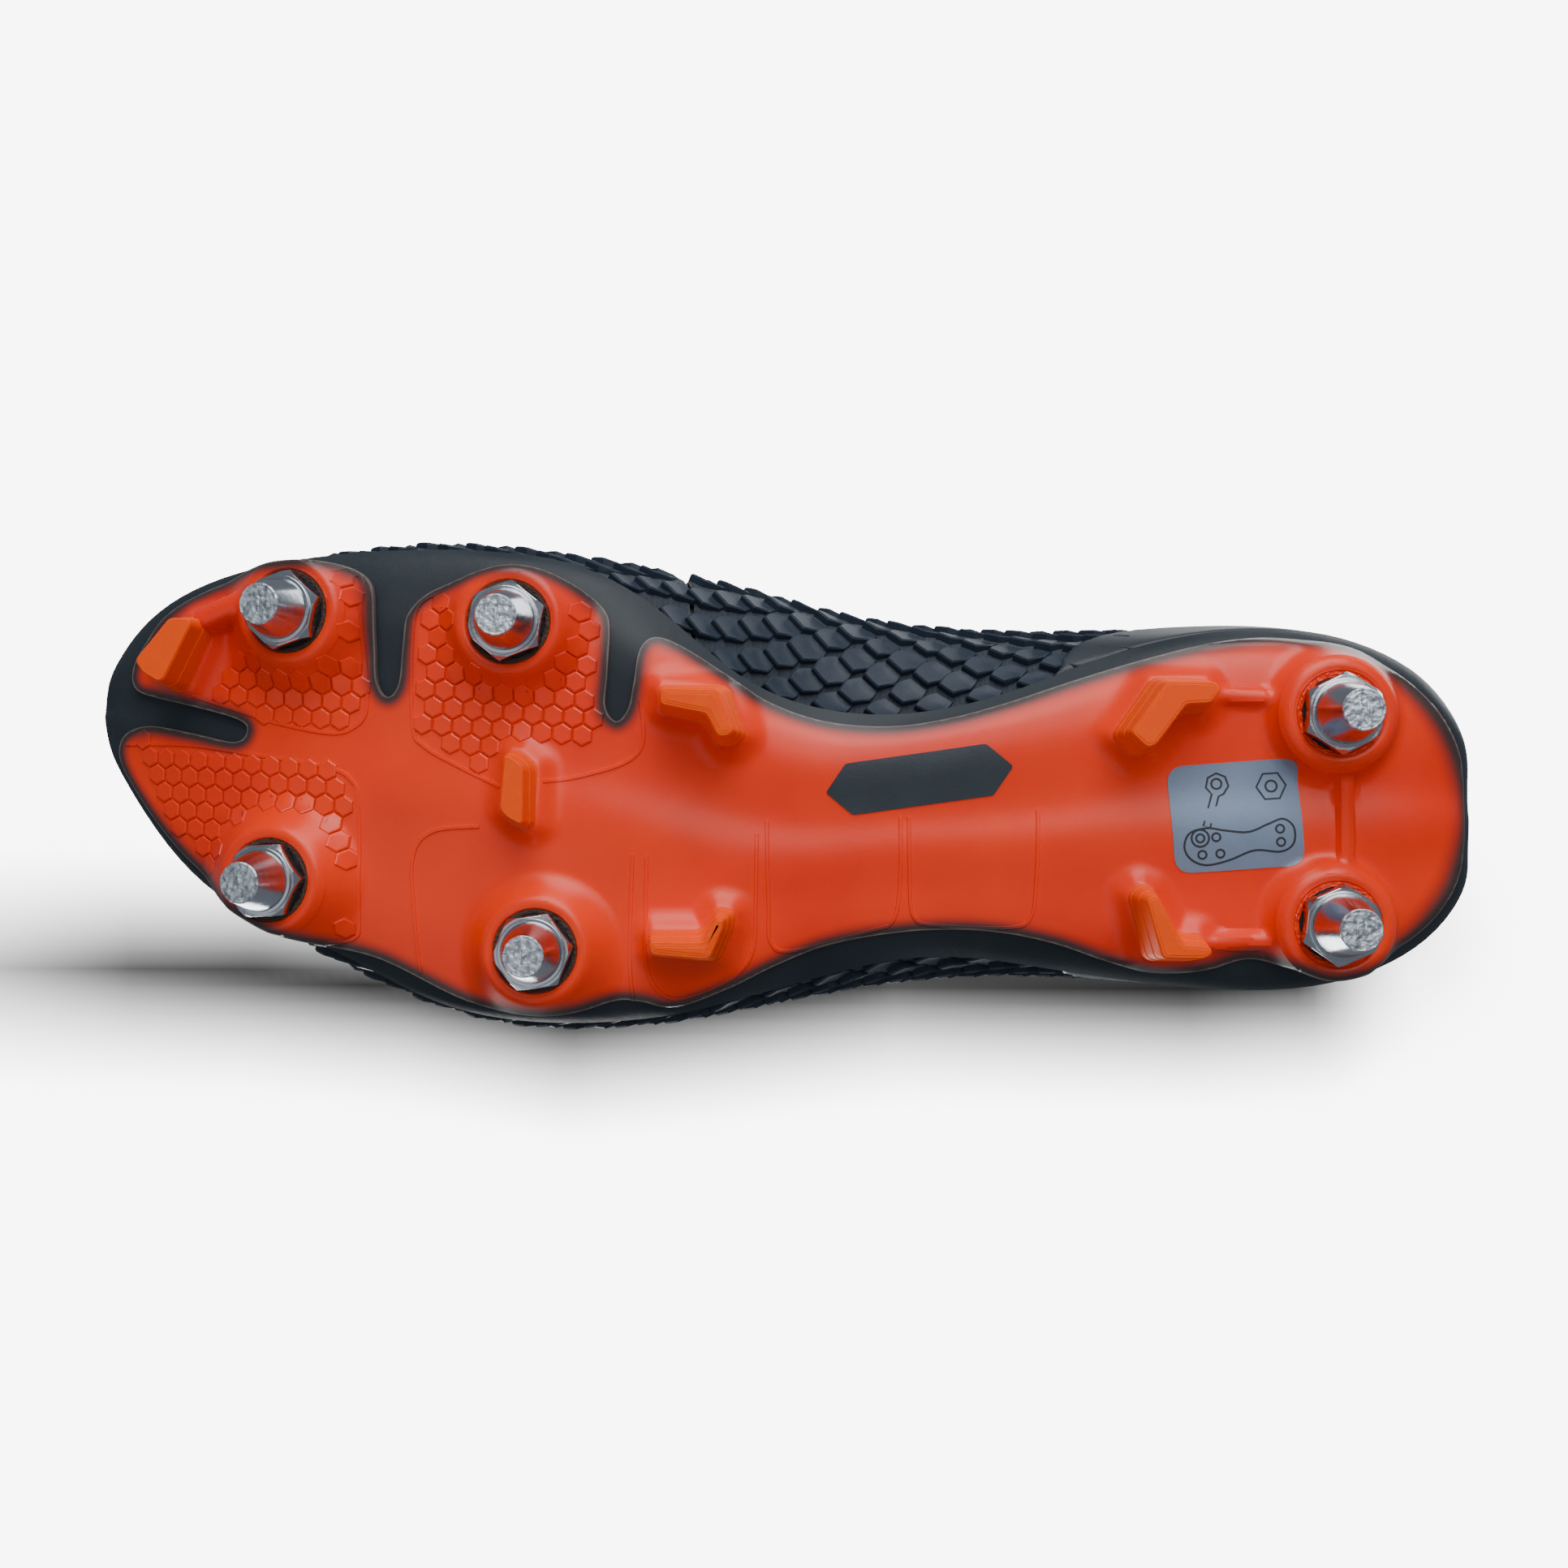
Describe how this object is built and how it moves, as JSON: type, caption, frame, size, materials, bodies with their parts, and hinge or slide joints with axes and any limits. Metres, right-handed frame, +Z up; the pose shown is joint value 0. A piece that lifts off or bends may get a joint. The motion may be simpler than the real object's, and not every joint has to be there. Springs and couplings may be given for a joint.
{
  "type": "soccer cleat",
  "caption": "Right-foot soft-ground soccer cleat with a moulded sole plate, bladed tread, screw-in conical studs and a laceless knit upper.",
  "frame": {"origin": "on the ground under the middle of the cleat's bounding box, studs standing on Z = 0", "axes": "+X to the toe, +Y to the medial side, +Z up out of the foot opening"},
  "size_m": [0.2868, 0.1038, 0.1051],
  "materials": {
    "plate_dark": "satin black composite",
    "skin_orange": "glossy red-orange translucent moulding",
    "badge_dark": "plain dark inlay",
    "label_foil": "plain silver foil label",
    "blade_orange": "bright orange moulded blades",
    "board_felt": "stitched fibre board",
    "knit_navy": "dark navy coated knit",
    "gusset_knit": "stretch rib knit",
    "cuff_rib": "ribbed collar knit",
    "counter_shell": "satin charcoal moulded film",
    "grip_film": "raised scale-pattern grip film",
    "stiffener_sheet": "thin stiffener sheet",
    "lining_mesh": "dark lining mesh",
    "insole_foam": "textile-covered foam insole",
    "pad_foam": "soft heel pads",
    "stud_alloy": "polished turned alloy",
    "screw_steel": "zinc-plated steel",
    "insert_brass": "threaded brass inserts"
  },
  "bodies": {
    "boot": {"plate_chassis": "plate_dark", "plate_skin": "skin_orange", "arch_badge": "badge_dark", "heel_label": "label_foil", "blade_toe": "blade_orange", "blade_centre": "blade_orange", "chevron_ball_medial": "blade_orange", "chevron_ball_lateral": "blade_orange", "chevron_heel_medial": "blade_orange", "chevron_heel_lateral": "blade_orange", "strobel_board": "board_felt", "vamp": "knit_navy", "quarter_medial": "knit_navy", "quarter_lateral": "knit_navy", "throat_gusset": "gusset_knit", "collar_cuff": "cuff_rib", "heel_counter": "counter_shell", "grip_panel_medial": "grip_film", "grip_panel_lateral": "grip_film", "toe_puff": "stiffener_sheet", "heel_stiffener": "stiffener_sheet", "bootie_lining": "lining_mesh", "insole": "insole_foam", "heel_pad_medial": "pad_foam", "heel_pad_lateral": "pad_foam", "stud_insert_toe_medial": "insert_brass", "stud_insert_toe_lateral": "insert_brass", "stud_insert_ball_medial": "insert_brass", "stud_insert_ball_lateral": "insert_brass", "stud_insert_heel_medial": "insert_brass", "stud_insert_heel_lateral": "insert_brass"},
    "screw_toe_medial": {"stud_screw_toe_medial": "screw_steel"},
    "stud_toe_medial": {"stud_toe_medial": "stud_alloy"},
    "screw_toe_lateral": {"stud_screw_toe_lateral": "screw_steel"},
    "stud_toe_lateral": {"stud_toe_lateral": "stud_alloy"},
    "screw_ball_medial": {"stud_screw_ball_medial": "screw_steel"},
    "stud_ball_medial": {"stud_ball_medial": "stud_alloy"},
    "screw_ball_lateral": {"stud_screw_ball_lateral": "screw_steel"},
    "stud_ball_lateral": {"stud_ball_lateral": "stud_alloy"},
    "screw_heel_medial": {"stud_screw_heel_medial": "screw_steel"},
    "stud_heel_medial": {"stud_heel_medial": "stud_alloy"},
    "screw_heel_lateral": {"stud_screw_heel_lateral": "screw_steel"},
    "stud_heel_lateral": {"stud_heel_lateral": "stud_alloy"}
  },
  "joints": [
    {"name": "stud_lift_toe_medial", "type": "slide", "parent": "boot", "child": "screw_toe_medial", "axis": [0.1392, 0, -0.9903], "range_m": [0, 0.0063]},
    {"name": "stud_turn_toe_medial", "type": "hinge", "parent": "screw_toe_medial", "child": "stud_toe_medial", "pos_m": [0.09608, 0.03437, 0.01144], "axis": [0.1392, 0, -0.9903], "range_deg": [0, 2790]},
    {"name": "stud_lift_toe_lateral", "type": "slide", "parent": "boot", "child": "screw_toe_lateral", "axis": [0.1392, 0, -0.9903], "range_m": [0, 0.0063]},
    {"name": "stud_turn_toe_lateral", "type": "hinge", "parent": "screw_toe_lateral", "child": "stud_toe_lateral", "pos_m": [0.09958, -0.01903, 0.01144], "axis": [0.1392, 0, -0.9903], "range_deg": [0, 2790]},
    {"name": "stud_lift_ball_medial", "type": "slide", "parent": "boot", "child": "screw_ball_medial", "axis": [0, 0, -1], "range_m": [0, 0.0063]},
    {"name": "stud_turn_ball_medial", "type": "hinge", "parent": "screw_ball_medial", "child": "stud_ball_medial", "pos_m": [0.05171, 0.03197, 0.011], "axis": [0, 0, -1], "range_deg": [0, 2790]},
    {"name": "stud_lift_ball_lateral", "type": "slide", "parent": "boot", "child": "screw_ball_lateral", "axis": [0, 0, -1], "range_m": [0, 0.0063]},
    {"name": "stud_turn_ball_lateral", "type": "hinge", "parent": "screw_ball_lateral", "child": "stud_ball_lateral", "pos_m": [0.04631, -0.03283, 0.011], "axis": [0, 0, -1], "range_deg": [0, 2790]},
    {"name": "stud_lift_heel_medial", "type": "slide", "parent": "boot", "child": "screw_heel_medial", "axis": [0, 0, -1], "range_m": [0, 0.0063]},
    {"name": "stud_turn_heel_medial", "type": "hinge", "parent": "screw_heel_medial", "child": "stud_heel_medial", "pos_m": [-0.11069, 0.01357, 0.013], "axis": [0, 0, -1], "range_deg": [0, 2790]},
    {"name": "stud_lift_heel_lateral", "type": "slide", "parent": "boot", "child": "screw_heel_lateral", "axis": [0, 0, -1], "range_m": [0, 0.0063]},
    {"name": "stud_turn_heel_lateral", "type": "hinge", "parent": "screw_heel_lateral", "child": "stud_heel_lateral", "pos_m": [-0.10999, -0.02733, 0.013], "axis": [0, 0, -1], "range_deg": [0, 2790]}
  ],
  "couplings": [
    {"joint": "stud_lift_toe_medial", "follows": "stud_turn_toe_medial", "m_per_rad": 0.00012732},
    {"joint": "stud_lift_toe_lateral", "follows": "stud_turn_toe_lateral", "m_per_rad": 0.00012732},
    {"joint": "stud_lift_ball_medial", "follows": "stud_turn_ball_medial", "m_per_rad": 0.00012732},
    {"joint": "stud_lift_ball_lateral", "follows": "stud_turn_ball_lateral", "m_per_rad": 0.00012732},
    {"joint": "stud_lift_heel_medial", "follows": "stud_turn_heel_medial", "m_per_rad": 0.00012732},
    {"joint": "stud_lift_heel_lateral", "follows": "stud_turn_heel_lateral", "m_per_rad": 0.00012732}
  ]
}
